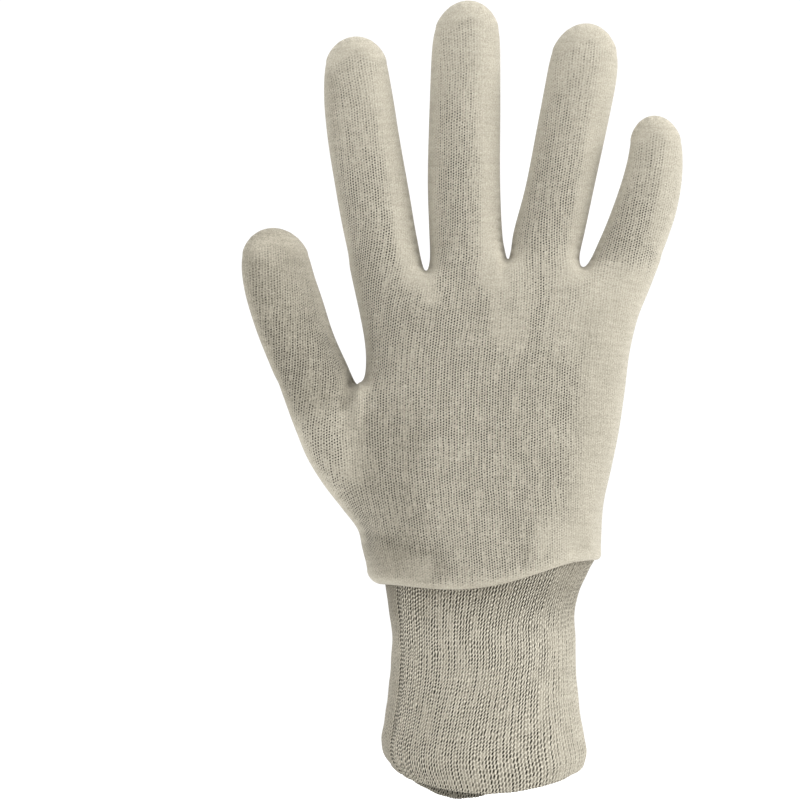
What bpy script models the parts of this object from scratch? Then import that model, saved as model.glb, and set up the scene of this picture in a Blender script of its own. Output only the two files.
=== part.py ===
"""Cotton work glove, standing open as a hand wears it.

Two jersey panels, cut in one with their fingers and thumb, meet in a seam all round the outline, and
their lower hem rolls in over a ribbed wrist cuff. Metres, +Z up: the fingers point up, the palm panel
faces -Y and the thumb is on the -X side. The origin is the middle of the wrist opening.
"""

from collections import namedtuple
import math

import bmesh
import bpy
import numpy as np

MM = 0.001
COLLECTION = "cotton_work_glove"

# Walls and clearances, in millimetres as all the sizes below
JERSEY_WALL = 1.2
CUFF_WALL = 2.0
CLEARANCE = 0.3
SEAM_LIP = 0.6
HEM_LIP = 0.6

# Cuff, from its mouth up to the hem that covers its top
CUFF_LENGTH = 72.4
CUFF_WIDTH = 65.6
CUFF_DEPTH = 43.0
CUFF_TUCK = 5.0
MOUTH_BOW = 9.5
MOUTH_FULLNESS = 0.7
MOUTH_LIFT = 1.6
BACK_DROP = 1.7
BACK_DROP_SIDE = -0.35
BACK_DROP_REACH = 0.6

# Hem of the two panels, an oval that tilts up to the right and sags in its middle. It rolls in over
# the cuff, furthest below the thumb.
HEM_WIDTH = 75.0
HEM_DEPTH = 49.0
HEM_TILT = 7.8
HEM_SAG = 4.8
HEM_SAG_MIDDLE = -0.12
HEM_SAG_REACH = 0.92
HEM_SAG_FADE = 1.5
HEM_ROLL = 2.2
THUMB_ROLL = 2.8
THUMB_ROLL_FADE = 3.0
HEM_OVERHANG = 2.3
THUMB_OVERHANG = 3.8

# Palm, from the hem up to the forks between the fingers. Its width is the knuckles', from the index's
# outer edge to the little finger's.
PALM_LENGTH = 98.2
PALM_WIDTH = 99.7
PALM_CENTRE = 6.65
PALM_DEPTH = 34.0
THUMB_FORK_HEIGHT = 60.1
THUMB_FORK_INSET = 2.9
THUMB_FOOT_WIDTH = 25.6
THUMB_TURN = math.radians(32.0)
THUMB_EASE = 6.0
SEAM_REACH = 10.5

# Digits, above their forks. Lean is how far a tip stands sideways of its foot, puff how deep the cloth
# would reach far from a seam, and curl how far a fingertip bends towards the palm.
THUMB_LENGTH = 49.6
THUMB_WIDTH = 25.0
THUMB_LEAN = -14.1
THUMB_PUFF = 34.0
INDEX_LENGTH = 72.9
INDEX_WIDTH = 23.6
INDEX_LEAN = -10.0
MIDDLE_LENGTH = 84.4
MIDDLE_WIDTH = 23.4
MIDDLE_LEAN = 0.4
RING_LENGTH = 77.1
RING_WIDTH = 23.2
RING_LEAN = 12.9
LITTLE_LENGTH = 47.5
LITTLE_WIDTH = 21.8
LITTLE_LEAN = 10.3
FINGER_PUFF = 30.0
FINGER_CURL = 6.0
LITTLE_CURL = 8.0

# Fineness of the mesh: columns across each digit, rows up the palm and the digits
COLUMNS = 6
LOW_ROWS = 9
HIGH_ROWS = 6
DIGIT_ROWS = 8
CAP_ROWS = 4
ROLL_STEPS = 2
CAP_CORNER = math.radians(48.0)
CAP_ROUNDING = 1.4
FORK_SPREAD = 0.4
FORK_CROWDING = 1.25
FORK_ROWS = 3
PUFF_BLEND = 0.3
FOLD_STEPS = 4
SHARP_ANGLE = math.radians(50.0)

Digit = namedtuple("Digit", "name lean length width puff curl sections")
Section = namedtuple("Section", "up shift wide")
Edge = namedtuple("Edge", "up out")
Fork = namedtuple("Fork", "share rise")
Ring = namedtuple("Ring", "up left right depth")
Spot = namedtuple("Spot", "x z puff bend seam")

# In a section, up is a share of the digit's length, and shift and wide are shares of its width: the
# middle's distance from the straight axis, and the full width. The last section is where the round
# cap begins.
THUMB = Digit("thumb", THUMB_LEAN, THUMB_LENGTH, THUMB_WIDTH, THUMB_PUFF, 0.0, [
    Section(0.05, -0.03, 1.01),
    Section(0.12, -0.05, 1.01),
    Section(0.35, -0.11, 0.99),
    Section(0.60, -0.14, 0.94),
    Section(0.79, -0.12, 0.85),
])
INDEX = Digit("index", INDEX_LEAN, INDEX_LENGTH, INDEX_WIDTH, FINGER_PUFF, FINGER_CURL, [
    Section(0.05, -0.02, 1.00),
    Section(0.12, -0.04, 1.00),
    Section(0.35, -0.07, 1.01),
    Section(0.60, -0.09, 0.99),
    Section(0.76, -0.08, 0.95),
    Section(0.83, -0.07, 0.90),
])
MIDDLE = Digit("middle", MIDDLE_LEAN, MIDDLE_LENGTH, MIDDLE_WIDTH, FINGER_PUFF, FINGER_CURL, [
    Section(0.05, 0.00, 1.04),
    Section(0.12, -0.02, 1.02),
    Section(0.35, -0.05, 1.01),
    Section(0.60, -0.04, 0.99),
    Section(0.83, -0.03, 0.96),
])
RING = Digit("ring", RING_LEAN, RING_LENGTH, RING_WIDTH, FINGER_PUFF, FINGER_CURL, [
    Section(0.05, -0.03, 0.97),
    Section(0.12, -0.03, 1.00),
    Section(0.35, 0.02, 0.97),
    Section(0.60, 0.05, 0.99),
    Section(0.80, 0.07, 1.00),
])
LITTLE = Digit("little", LITTLE_LEAN, LITTLE_LENGTH, LITTLE_WIDTH, FINGER_PUFF, LITTLE_CURL, [
    Section(0.05, 0.04, 1.06),
    Section(0.12, 0.07, 1.03),
    Section(0.35, 0.15, 0.98),
    Section(0.60, 0.17, 0.89),
    Section(0.84, 0.12, 0.73),
])
DIGITS = [THUMB, INDEX, MIDDLE, RING, LITTLE]

# Ends of the row of forks: the index's outer edge, the three forks, the little finger's outer edge.
# Share is a part of the palm's width from its middle, and rise a part of its length, above it.
FORKS = [
    Fork(-0.500, -0.010),
    Fork(-0.253, -0.016),
    Fork(0.011, 0.022),
    Fork(0.251, -0.004),
    Fork(0.500, 0.009),
]

# Outlines of the palm, by shares of their height. Out goes from 0 at the hem to 1 at the foot of the
# thumb or of the little finger. Between the thumb and the index it is a share of the index's width.
THUMB_SIDE = [
    Edge(0.00, 0.00),
    Edge(0.11, 0.06),
    Edge(0.21, 0.11),
    Edge(0.32, 0.28),
    Edge(0.45, 0.49),
    Edge(0.58, 0.66),
    Edge(0.75, 0.81),
    Edge(1.00, 1.00),
]
INDEX_SIDE = [
    Edge(0.00, 0.00),
    Edge(0.06, 0.08),
    Edge(0.14, 0.11),
    Edge(0.40, 0.12),
    Edge(0.58, 0.09),
    Edge(1.00, 0.00),
]
LITTLE_SIDE = [
    Edge(0.00, 0.00),
    Edge(0.18, 0.06),
    Edge(0.28, 0.17),
    Edge(0.42, 0.31),
    Edge(0.56, 0.41),
    Edge(0.70, 0.50),
    Edge(0.82, 0.65),
    Edge(0.90, 0.81),
    Edge(1.00, 1.00),
]

# How deep the palm would puff far from a seam: shares of the palm's depth, by height up the palm
PALM_BULK = [
    Edge(0.00, 1.30),
    Edge(0.12, 1.25),
    Edge(0.30, 1.14),
    Edge(0.60, 1.00),
    Edge(1.00, 0.90),
]

# Cuff sections: up from the mouth towards the hem, half widths and depth as shares of half the
# cuff's own. The hem's sizes give the cuff's top.
CUFF_RINGS = [
    Ring(0.00, 0.91, 0.97, 0.95),
    Ring(0.06, 0.98, 1.00, 0.99),
    Ring(0.13, 1.00, 0.98, 1.00),
    Ring(0.25, 0.97, 0.94, 0.98),
    Ring(0.40, 0.93, 0.90, 0.95),
    Ring(0.60, 0.90, 0.89, 0.93),
    Ring(0.78, 0.91, 0.89, 0.94),
    Ring(0.88, 0.93, 0.96, 0.97),
]
OUTER_RINGS = [1.0, 0.94, 0.87, 0.78, 0.6, 0.4, 0.25, 0.13, 0.06]
INNER_RINGS = [0.06, 0.35, 0.7, 1.0]

COTTON = (0.53, 0.49, 0.39, 1.0)
CUFF_COTTON = (0.50, 0.46, 0.37, 1.0)


def clear_scene():
    """Start from an empty file."""
    for thing in list(bpy.data.objects):
        bpy.data.objects.remove(thing, do_unlink=True)


def cotton(name, colour):
    """Undyed cotton yarn."""
    material = bpy.data.materials.new(name)
    material.use_nodes = True
    shader = material.node_tree.nodes["Principled BSDF"]
    shader.inputs["Base Color"].default_value = colour
    shader.inputs["Roughness"].default_value = 0.95
    shader.inputs["Metallic"].default_value = 0.0
    return material


def curve_through(xs, ys, x):
    """Value at x of a smooth curve through the points, held level past its ends."""
    xs = np.asarray(xs, float)
    ys = np.asarray(ys, float)
    slopes = np.gradient(ys, xs)
    x = min(max(x, xs[0]), xs[-1])
    i = min(max(int(np.searchsorted(xs, x, side="right")) - 1, 0), len(xs) - 2)
    step = xs[i + 1] - xs[i]
    t = (x - xs[i]) / step
    start = ys[i] * (1 + 2 * t) + slopes[i] * step * t
    end = ys[i + 1] * (3 - 2 * t) - slopes[i + 1] * step * (1 - t)
    return start * (1 - t) ** 2 + end * t ** 2


def read_table(table, column, up):
    """A column of a table of rows that start with a height share, read at a height share."""
    return curve_through([row[0] for row in table], [getattr(row, column) for row in table], up)


def ease(t):
    """From 0 to 1, level at both ends."""
    t = min(max(t, 0.0), 1.0)
    return t * t * (3 - 2 * t)


# Heights of the hem, the mouth and the forks

FORK_LEVELS = [CUFF_LENGTH + PALM_LENGTH * (1 + fork.rise) for fork in FORKS]
FINGER_LEVEL = CUFF_LENGTH + PALM_LENGTH
THUMB_FORK_LEVEL = CUFF_LENGTH + THUMB_FORK_HEIGHT
HAND_COLUMNS = COLUMNS * len(DIGITS)
FORK_ROW = LOW_ROWS + HIGH_ROWS


def hem_height(side):
    """Height of the hem line, where side runs from -1 at the thumb's side to 1."""
    away = (side - HEM_SAG_MIDDLE) / HEM_SAG_REACH
    sag = HEM_SAG * max(1 - away * away, 0.0) ** HEM_SAG_FADE
    return CUFF_LENGTH + HEM_TILT / 2 * side - sag


def hem_top(side):
    """Height where the hem's roll begins."""
    return hem_height(side) + HEM_ROLL + THUMB_ROLL * max(-side, 0.0) ** THUMB_ROLL_FADE


def mouth_height(side, facing):
    """Height of the cuff's lower rim. Facing is -1 in front and 1 behind, where it hangs lower."""
    bow = MOUTH_BOW * (1 - max(1 - side * side, 0.0) ** MOUTH_FULLNESS)
    if facing < 0:
        return MOUTH_LIFT + bow
    away = abs(side - BACK_DROP_SIDE) / BACK_DROP_REACH
    return MOUTH_LIFT + bow - BACK_DROP * ease(1 - away)


# Outlines of the panels

def fork_side(number):
    """Sideways place of an end of the row of forks."""
    return PALM_CENTRE + PALM_WIDTH * FORKS[number].share


THUMB_FORK_SIDE = fork_side(0) + THUMB_FORK_INSET
THUMB_FOOT_SIDE = THUMB_FORK_SIDE - THUMB_FOOT_WIDTH


def left_edge(z):
    """The palm's outline below the thumb, and above its fork the outer edge of the index."""
    bottom = hem_top(-1)
    if z <= THUMB_FORK_LEVEL:
        out = read_table(THUMB_SIDE, "out", (z - bottom) / (THUMB_FORK_LEVEL - bottom))
        return -HEM_WIDTH / 2 + (THUMB_FOOT_SIDE + HEM_WIDTH / 2) * out
    up = (z - THUMB_FORK_LEVEL) / (FORK_LEVELS[0] - THUMB_FORK_LEVEL)
    straight = THUMB_FORK_SIDE + (fork_side(0) - THUMB_FORK_SIDE) * up
    return straight + INDEX.width * read_table(INDEX_SIDE, "out", up)


def right_edge(z):
    """The palm's outline on the little finger's side."""
    bottom = hem_top(1)
    out = read_table(LITTLE_SIDE, "out", (z - bottom) / (FORK_LEVELS[-1] - bottom))
    return HEM_WIDTH / 2 + (fork_side(-1) - HEM_WIDTH / 2) * out


def spread(t, left, right):
    """Share across a digit, drawn closer to those of its edges that are seams."""
    near_left = 1 - math.cos(t * math.pi / 2)
    near_right = math.sin(t * math.pi / 2)
    both = (1 - math.cos(t * math.pi)) / 2
    plain = t * (1 - left) * (1 - right)
    return plain + near_left * left * (1 - right) + near_right * right * (1 - left) + both * left * right


def fork_share(column, left, split):
    """Share of the way from the index's outer edge to the little finger's, for a column of the palm."""
    digit = min(max(column // COLUMNS - 1, 0), len(FORKS) - 2)
    t = (column - COLUMNS * (digit + 1)) / COLUMNS
    first = digit == 0
    last = digit == len(FORKS) - 2
    across = spread(t, left if first else split, 1.0 if last else split)
    start = FORKS[digit].share - FORKS[0].share
    end = FORKS[digit + 1].share - FORKS[0].share
    return start + (end - start) * across


def fork_height(column):
    """Height of the row of forks at a column of the palm."""
    digit = min(max(column // COLUMNS - 1, 0), len(FORKS) - 2)
    t = (column - COLUMNS * (digit + 1)) / COLUMNS
    return FORK_LEVELS[digit] * (1 - t) + FORK_LEVELS[digit + 1] * t


def thumb_bend(x, z):
    """How far the thumb's side is turned towards the palm, from a line up to the thumb's fork."""
    foot_x = -HEM_WIDTH / 2
    foot_z = hem_top(-1)
    run_x = THUMB_FORK_SIDE - foot_x
    run_z = THUMB_FORK_LEVEL - foot_z
    away = (run_x * (z - foot_z) - run_z * (x - foot_x)) / math.hypot(run_x, run_z)
    if away <= 0:
        return 0.0
    return -math.tan(THUMB_TURN) * away * away / (away + THUMB_EASE)


def palm_puff(z):
    """Depth that the palm would reach far from its seams."""
    up = (z - CUFF_LENGTH) / PALM_LENGTH
    return PALM_DEPTH * read_table(PALM_BULK, "out", up)


def low_spot(row, column):
    """A point of the palm below the thumb's fork."""
    t = row / LOW_ROWS
    hem_side = -math.cos(math.pi * column / HAND_COLUMNS)
    z = hem_top(hem_side) + (THUMB_FORK_LEVEL - hem_top(hem_side)) * t
    left = left_edge(hem_top(-1) + (THUMB_FORK_LEVEL - hem_top(-1)) * t)
    right = right_edge(hem_top(1) + (THUMB_FORK_LEVEL - hem_top(1)) * t)
    fork = (THUMB_FORK_SIDE - left_edge(THUMB_FORK_LEVEL))
    fork = fork / (right_edge(THUMB_FORK_LEVEL) - left_edge(THUMB_FORK_LEVEL))
    if column <= COLUMNS:
        top_share = fork * spread(column / COLUMNS, 1.0, FORK_SPREAD)
    else:
        top_share = fork + (1 - fork) * fork_share(column, FORK_SPREAD, 0.0)
    hem_share = (hem_side + 1) / 2
    share = hem_share + (top_share - hem_share) * ease(t)
    x = left + (right - left) * share
    seam = column == 0 or column == HAND_COLUMNS or (row == LOW_ROWS and column == COLUMNS)
    bend = thumb_bend(x, z) if column < COLUMNS else 0.0
    return Spot(x, z, palm_puff(z), bend, seam)


def high_spot(row, column):
    """A point of the palm above the thumb's fork."""
    t = (row - LOW_ROWS) / HIGH_ROWS
    z = THUMB_FORK_LEVEL + (fork_height(column) - THUMB_FORK_LEVEL) * t
    left = left_edge(THUMB_FORK_LEVEL + (FORK_LEVELS[0] - THUMB_FORK_LEVEL) * t)
    right = right_edge(THUMB_FORK_LEVEL + (FORK_LEVELS[-1] - THUMB_FORK_LEVEL) * t)
    open_up = FORK_SPREAD + (1 - FORK_SPREAD) * ease(2 * t)
    x = left + (right - left) * fork_share(column, open_up, FORK_SPREAD * ease(2 * t - 1))
    forks = [COLUMNS * (digit + 1) for digit in range(1, len(FORKS) - 1)]
    seam = column in (COLUMNS, HAND_COLUMNS) or (row == FORK_ROW and column in forks)
    return Spot(x, z, palm_puff(z), 0.0, seam)


def cap_place(row, across):
    """Place in a digit's round end: half widths sideways and cap heights up."""
    t = row / CAP_ROWS
    corner = CAP_CORNER * t
    flat_x = across * math.cos(corner)
    flat_z = math.sin(corner)
    angle = math.pi / 2 - across * (math.pi / 2 - corner)
    round_x = math.cos(angle)
    round_z = math.sin(angle)
    weight = t ** CAP_ROUNDING
    return flat_x + (round_x - flat_x) * weight, flat_z + (round_z - flat_z) * weight


def digit_foot(number):
    """Where a digit's foot has its two edges."""
    if DIGITS[number] is THUMB:
        return THUMB_FOOT_SIDE, THUMB_FORK_SIDE
    return fork_side(number - 1), fork_side(number)


def digit_spot(number, row, step):
    """A point of a digit above its fork, where step counts the columns across it."""
    digit = DIGITS[number]
    is_thumb = digit is THUMB
    base = THUMB_FORK_LEVEL if is_thumb else FINGER_LEVEL
    foot_left, foot_right = digit_foot(number)
    foot = (foot_left + foot_right) / 2
    sections = [Section(0.0, 0.0, (foot_right - foot_left) / digit.width)] + digit.sections
    cap_up = digit.sections[-1].up
    t = step / COLUMNS
    if row <= DIGIT_ROWS:
        up = cap_up * (row / DIGIT_ROWS) ** FORK_CROWDING
        free = FORK_SPREAD + (1 - FORK_SPREAD) * ease(row / FORK_ROWS)
        left = 1.0 if digit in (THUMB, INDEX) else free
        right = 1.0 if digit is LITTLE else free
        across = 2 * spread(t, left, right) - 1
        shift = read_table(sections, "shift", up)
        half = read_table(sections, "wide", up) * digit.width / 2
        x = foot + digit.lean * up + shift * digit.width + across * half
    else:
        side, rise = cap_place(row - DIGIT_ROWS, 2 * t - 1 if row == DIGIT_ROWS + CAP_ROWS
                               else 2 * spread(t, 1.0, 1.0) - 1)
        start = digit.sections[-1]
        up = cap_up + (1 - cap_up) * rise
        half = start.wide * digit.width / 2
        shift = start.shift * (1 - rise)
        x = foot + digit.lean * up + shift * digit.width + side * half
    z = base + digit.length * up
    start_puff = palm_puff(base)
    puff = start_puff + (digit.puff - start_puff) * ease(up / PUFF_BLEND)
    bend = thumb_bend(x, z) if is_thumb else -digit.curl * up * up
    seam = step in (0, COLUMNS) or row == DIGIT_ROWS + CAP_ROWS
    return Spot(x, z, puff, bend, seam)


def panel_net():
    """The flat net of a panel: its spots in order, its quads and the numbers of its hem's spots."""
    spots = {}
    for row in range(FORK_ROW + 1):
        for column in range(0 if row <= LOW_ROWS else COLUMNS, HAND_COLUMNS + 1):
            place = low_spot if row <= LOW_ROWS else high_spot
            spots["palm", row, column] = place(row, column)
    cells = [("palm", row, column) for row in range(FORK_ROW) for column in range(HAND_COLUMNS)
             if row < LOW_ROWS or column >= COLUMNS]
    for number, digit in enumerate(DIGITS):
        for row in range(1, DIGIT_ROWS + CAP_ROWS + 1):
            for step in range(COLUMNS + 1):
                spots[digit.name, row, COLUMNS * number + step] = digit_spot(number, row, step)
        for row in range(DIGIT_ROWS + CAP_ROWS):
            cells += [(digit.name, row, COLUMNS * number + step) for step in range(COLUMNS)]
    order = {key: number for number, key in enumerate(spots)}

    def corner(part, row, column):
        if part != "palm" and row == 0:
            return order["palm", LOW_ROWS if part == THUMB.name else FORK_ROW, column]
        return order[part, row, column]

    quads = [(corner(part, row, column), corner(part, row, column + 1),
              corner(part, row + 1, column + 1), corner(part, row + 1, column))
             for part, row, column in cells]
    hem = [order["palm", 0, column] for column in range(HAND_COLUMNS + 1)]
    return list(spots.values()), quads, hem


def puffed(spots, quads, known):
    """Half depths of a net that is sewn down at the known spots and puffs up between them.

    The squared height follows the screened Poisson equation, whose answer across a strip is an
    ellipse, and far from every seam a level top.
    """
    count = len(spots)
    place = np.array([(spot.x, spot.z) for spot in spots])
    stiffness = np.zeros((count, count))
    area = np.zeros(count)
    triangles = [(q[0], q[1], q[2]) for q in quads] + [(q[0], q[2], q[3]) for q in quads]
    for triangle in triangles:
        for turn in range(3):
            a, b, c = triangle[turn], triangle[(turn + 1) % 3], triangle[(turn + 2) % 3]
            u = place[a] - place[c]
            v = place[b] - place[c]
            cross = abs(u[0] * v[1] - u[1] * v[0])
            weight = (u @ v) / cross / 2
            stiffness[a, b] -= weight
            stiffness[b, a] -= weight
            stiffness[a, a] += weight
            stiffness[b, b] += weight
            area[c] += cross / 6
    system = stiffness + np.diag(area / SEAM_REACH ** 2)
    pull = area / SEAM_REACH ** 2
    for number, value in known.items():
        system[number] = 0
        system[number, number] = 1
        pull[number] = value
    squared = np.linalg.solve(system, pull)
    return [spot.puff / 2 * math.sqrt(max(value, 0.0)) for spot, value in zip(spots, squared)]


def cuff_oval(up, outset):
    """The cuff's outer oval at a height share: its middle, half width and half depth."""
    half_hem = HEM_WIDTH / 2 - HEM_OVERHANG
    top = Ring(1.0, (half_hem - THUMB_OVERHANG) / (CUFF_WIDTH / 2), half_hem / (CUFF_WIDTH / 2),
               (HEM_DEPTH / 2 - HEM_OVERHANG) / (CUFF_DEPTH / 2))
    rings = CUFF_RINGS + [top]
    left = CUFF_WIDTH / 2 * read_table(rings, "left", up)
    right = CUFF_WIDTH / 2 * read_table(rings, "right", up)
    deep = CUFF_DEPTH / 2 * read_table(rings, "depth", up)
    return (right - left) / 2, (right + left) / 2 + outset, deep + outset


def rolled(point, column, facing, turn, gap):
    """A point of the hem, rolled in by up to a quarter turn until it is a gap away from the cuff."""
    angle = math.pi * column / HAND_COLUMNS
    side = -math.cos(angle)
    middle, half, deep = cuff_oval(1.0, gap)
    target = (middle + half * side, facing * deep * math.sin(angle))
    inward = 1 - math.cos(turn)
    x = point[0] + (target[0] - point[0]) * inward
    y = point[1] + (target[1] - point[1]) * inward
    if column in (0, HAND_COLUMNS):
        y = point[1]
    return x, y, point[2] - (hem_top(side) - hem_height(side)) * math.sin(turn)


def new_object(name, mesh, material, collection):
    """Put a mesh in the scene, with smooth shading up to its sharp edges."""
    mesh.materials.append(material)
    mesh.shade_smooth()
    mesh.set_sharp_from_angle(angle=SHARP_ANGLE)
    thing = bpy.data.objects.new(name, mesh)
    collection.objects.link(thing)
    return thing


def jersey_panel(name, facing, material, collection):
    """Half of the glove's body: facing is -1 for the palm and 1 for the back."""
    spots, quads, hem = panel_net()
    known = {number: 0.0 for number, spot in enumerate(spots) if spot.seam}
    stand_off = CLEARANCE / 2 + SEAM_LIP
    oval = HEM_DEPTH / 2 - stand_off
    for column, number in enumerate(hem):
        height = oval * math.sin(math.pi * column / HAND_COLUMNS)
        known[number] = (2 * height / spots[number].puff) ** 2
    heights = puffed(spots, quads, known)
    points = [(spot.x, spot.bend + facing * (stand_off + height), spot.z)
              for spot, height in zip(spots, heights)]
    seam = [spot.seam for spot in spots]
    above = hem
    turns = [(math.pi / 2 * step / ROLL_STEPS, CLEARANCE + HEM_LIP) for step in range(1, ROLL_STEPS + 1)]
    for turn, gap in turns + [(math.pi / 2, CLEARANCE)]:
        below = range(len(points), len(points) + len(hem))
        points += [rolled(points[number], column, facing, turn, gap) for column, number in enumerate(hem)]
        seam += [seam[number] for number in hem]
        quads += [(below[k], below[k + 1], above[k + 1], above[k]) for k in range(HAND_COLUMNS)]
        above = below
    if facing > 0:
        quads = [tuple(reversed(quad)) for quad in quads]

    mesh = bpy.data.meshes.new(name)
    net = bmesh.new()
    corners = [net.verts.new([value * MM for value in point]) for point in points]
    for quad in quads:
        net.faces.new([corners[number] for number in quad])
    sewn = {corner for corner, on_seam in zip(corners, seam) if on_seam}
    rim = [edge for edge in net.edges if edge.is_boundary and set(edge.verts) <= sewn]
    lip = bmesh.ops.extrude_edge_only(net, edges=rim)["geom"]
    for corner in [item for item in lip if isinstance(item, bmesh.types.BMVert)]:
        corner.co.y -= facing * SEAM_LIP * MM
    bmesh.ops.recalc_face_normals(net, faces=net.faces)
    if sum(face.normal.y * face.calc_area() for face in net.faces) * facing < 0:
        bmesh.ops.reverse_faces(net, faces=net.faces)
    net.to_mesh(mesh)
    net.free()
    panel = new_object(name, mesh, material, collection)
    wall = panel.modifiers.new("jersey", "SOLIDIFY")
    wall.thickness = JERSEY_WALL * MM
    wall.offset = -1.0
    return panel


def cuff_ring(up, inset, lift):
    """A loop of points round the cuff, at a height share, a depth in its wall and a lift in mm."""
    middle, half, deep = cuff_oval(up, -inset)
    loop = []
    for step in range(2 * HAND_COLUMNS):
        angle = math.pi * step / HAND_COLUMNS
        side = -math.cos(angle)
        facing = -1 if step <= HAND_COLUMNS else 1
        low = mouth_height(side, facing)
        x = middle + half * side
        y = -deep * math.sin(angle)
        z = low + (hem_height(side) - low) * up + lift
        loop.append((x * MM, y * MM, z * MM))
    return loop


def knit_cuff(name, material, collection):
    """The ribbed tube, folded over at its mouth, with its top tucked in behind the hem."""
    loops = [cuff_ring(1.0, 0.0, CUFF_TUCK)]
    loops += [cuff_ring(up, 0.0, 0.0) for up in OUTER_RINGS]
    fold = CUFF_WALL / 2
    for step in range(FOLD_STEPS + 1):
        turn = math.pi * step / FOLD_STEPS
        loops.append(cuff_ring(0.0, fold * (1 - math.cos(turn)), fold * (1 - math.sin(turn))))
    loops += [cuff_ring(up, CUFF_WALL, 0.0) for up in INNER_RINGS]
    loops.append(cuff_ring(1.0, CUFF_WALL, CUFF_TUCK))
    mesh = bpy.data.meshes.new(name)
    net = bmesh.new()
    rings = [[net.verts.new(point) for point in loop] for loop in loops]
    around = len(rings[0])
    for number, ring in enumerate(rings):
        below = rings[(number + 1) % len(rings)]
        for step in range(around):
            after = (step + 1) % around
            net.faces.new((ring[step], below[step], below[after], ring[after]))
    bmesh.ops.recalc_face_normals(net, faces=net.faces)
    net.to_mesh(mesh)
    net.free()
    return new_object(name, mesh, material, collection)


def main():
    clear_scene()
    collection = bpy.data.collections.new(COLLECTION)
    bpy.context.scene.collection.children.link(collection)
    body = cotton("jersey_cotton", COTTON)
    jersey_panel("palm_panel", -1, body, collection)
    jersey_panel("back_panel", 1, body, collection)
    knit_cuff("knit_cuff", cotton("ribbed_cotton", CUFF_COTTON), collection)


main()
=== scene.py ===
"""Cotton work glove, standing open as a hand wears it: its finished cloth, set, lights and camera.

Sizes are in millimetres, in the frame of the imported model: the fingers point up +Z, the palm panel faces
-Y and the thumb is on the -X side. The body is two panels of jersey sewn together round their outline,
and the cuff is a ribbed tube. Both carry a pattern map whose unit is one stitch.
"""

from collections import namedtuple
import math

import bpy
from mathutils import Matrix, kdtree
import numpy as np

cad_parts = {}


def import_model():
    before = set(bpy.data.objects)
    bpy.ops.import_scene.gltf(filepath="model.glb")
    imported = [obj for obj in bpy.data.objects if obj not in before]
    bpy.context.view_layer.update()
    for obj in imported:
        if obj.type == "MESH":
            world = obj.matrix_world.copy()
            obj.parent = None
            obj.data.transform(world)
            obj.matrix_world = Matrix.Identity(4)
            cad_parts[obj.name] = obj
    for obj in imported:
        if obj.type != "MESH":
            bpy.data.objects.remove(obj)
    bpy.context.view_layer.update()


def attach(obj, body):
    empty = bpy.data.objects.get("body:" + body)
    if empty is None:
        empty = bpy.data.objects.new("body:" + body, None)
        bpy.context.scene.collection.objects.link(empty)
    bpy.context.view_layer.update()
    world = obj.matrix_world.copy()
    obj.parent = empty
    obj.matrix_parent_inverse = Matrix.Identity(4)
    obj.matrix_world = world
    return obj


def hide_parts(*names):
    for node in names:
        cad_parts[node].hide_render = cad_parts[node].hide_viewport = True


MM = 0.001
TINY = 1e-12
SLACK = 1e-9

# Walls, in millimetres as all the sizes below
JERSEY_WALL = 1.2
CUFF_WALL = 2.0
CLEARANCE = 0.3
SEAM_LIP = 0.6
HEM_LIP = 0.6
STAND_OFF = CLEARANCE / 2 + SEAM_LIP

# Cuff
CUFF_LENGTH = 72.4
CUFF_WIDTH = 65.6
CUFF_DEPTH = 43.0
CUFF_TUCK = 5.0
MOUTH_BOW = 8.4
MOUTH_FULLNESS = 0.7
MOUTH_LIFT = 2.7
BACK_DROP = 2.8
BACK_DROP_SIDE = -0.35
BACK_DROP_REACH = 0.6

# Hem of the two panels
HEM_WIDTH = 75.0
HEM_DEPTH = 49.0
HEM_TILT = 7.8
HEM_SAG = 4.8
HEM_SAG_MIDDLE = -0.12
HEM_SAG_REACH = 0.92
HEM_SAG_FADE = 1.5
HEM_ROLL = 2.2
THUMB_ROLL = 2.8
THUMB_ROLL_FADE = 3.0
HEM_OVERHANG = 2.3
THUMB_OVERHANG = 3.8

# Palm
PALM_LENGTH = 98.2
PALM_WIDTH = 99.7
PALM_CENTRE = 6.65
PALM_DEPTH = 34.0
THUMB_FORK_HEIGHT = 60.1
THUMB_FORK_INSET = 2.9
THUMB_FOOT_WIDTH = 25.6
THUMB_TURN = math.radians(32.0)
THUMB_EASE = 6.0
SEAM_REACH = 10.5

# Digits
THUMB_PUFF = 34.0
FINGER_PUFF = 30.0
FINGER_CURL = 6.0
LITTLE_CURL = 8.0

# Fineness of the cloth: columns across each digit, rows up the palm and the digits, and their spacing
COLUMNS = 34
LOW_ROWS = 76
HIGH_ROWS = 52
DIGIT_ROWS = 80
CAP_ROWS = 26
ROLL_STEPS = 7
FOLD_STEPS = 9
INSIDE_STEPS = 8
CAP_CORNER = math.radians(48.0)
CAP_ROUNDING = 1.4
FORK_SPREAD = 0.4
FORK_CROWDING = 1.35
FORK_SHARE = 0.12
FORK_FADE = 9.0
PUFF_BLEND = 0.3
CAP_SMOOTH_ROWS = 16
CAP_SMOOTH_LOW = 2
CAP_SMOOTH_ROUNDS = 50
OVAL_STEPS = 4000

# Stitches: the jersey's size, the cuff's wales round it and courses up it, and points to a stitch
JERSEY_WALE = 0.84
JERSEY_COURSE = 0.88
CUFF_WALES = 168
CUFF_COURSES = 47
TUCK_COURSES = 3.0
PER_WALE = 3
PER_COURSE = 3

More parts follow.
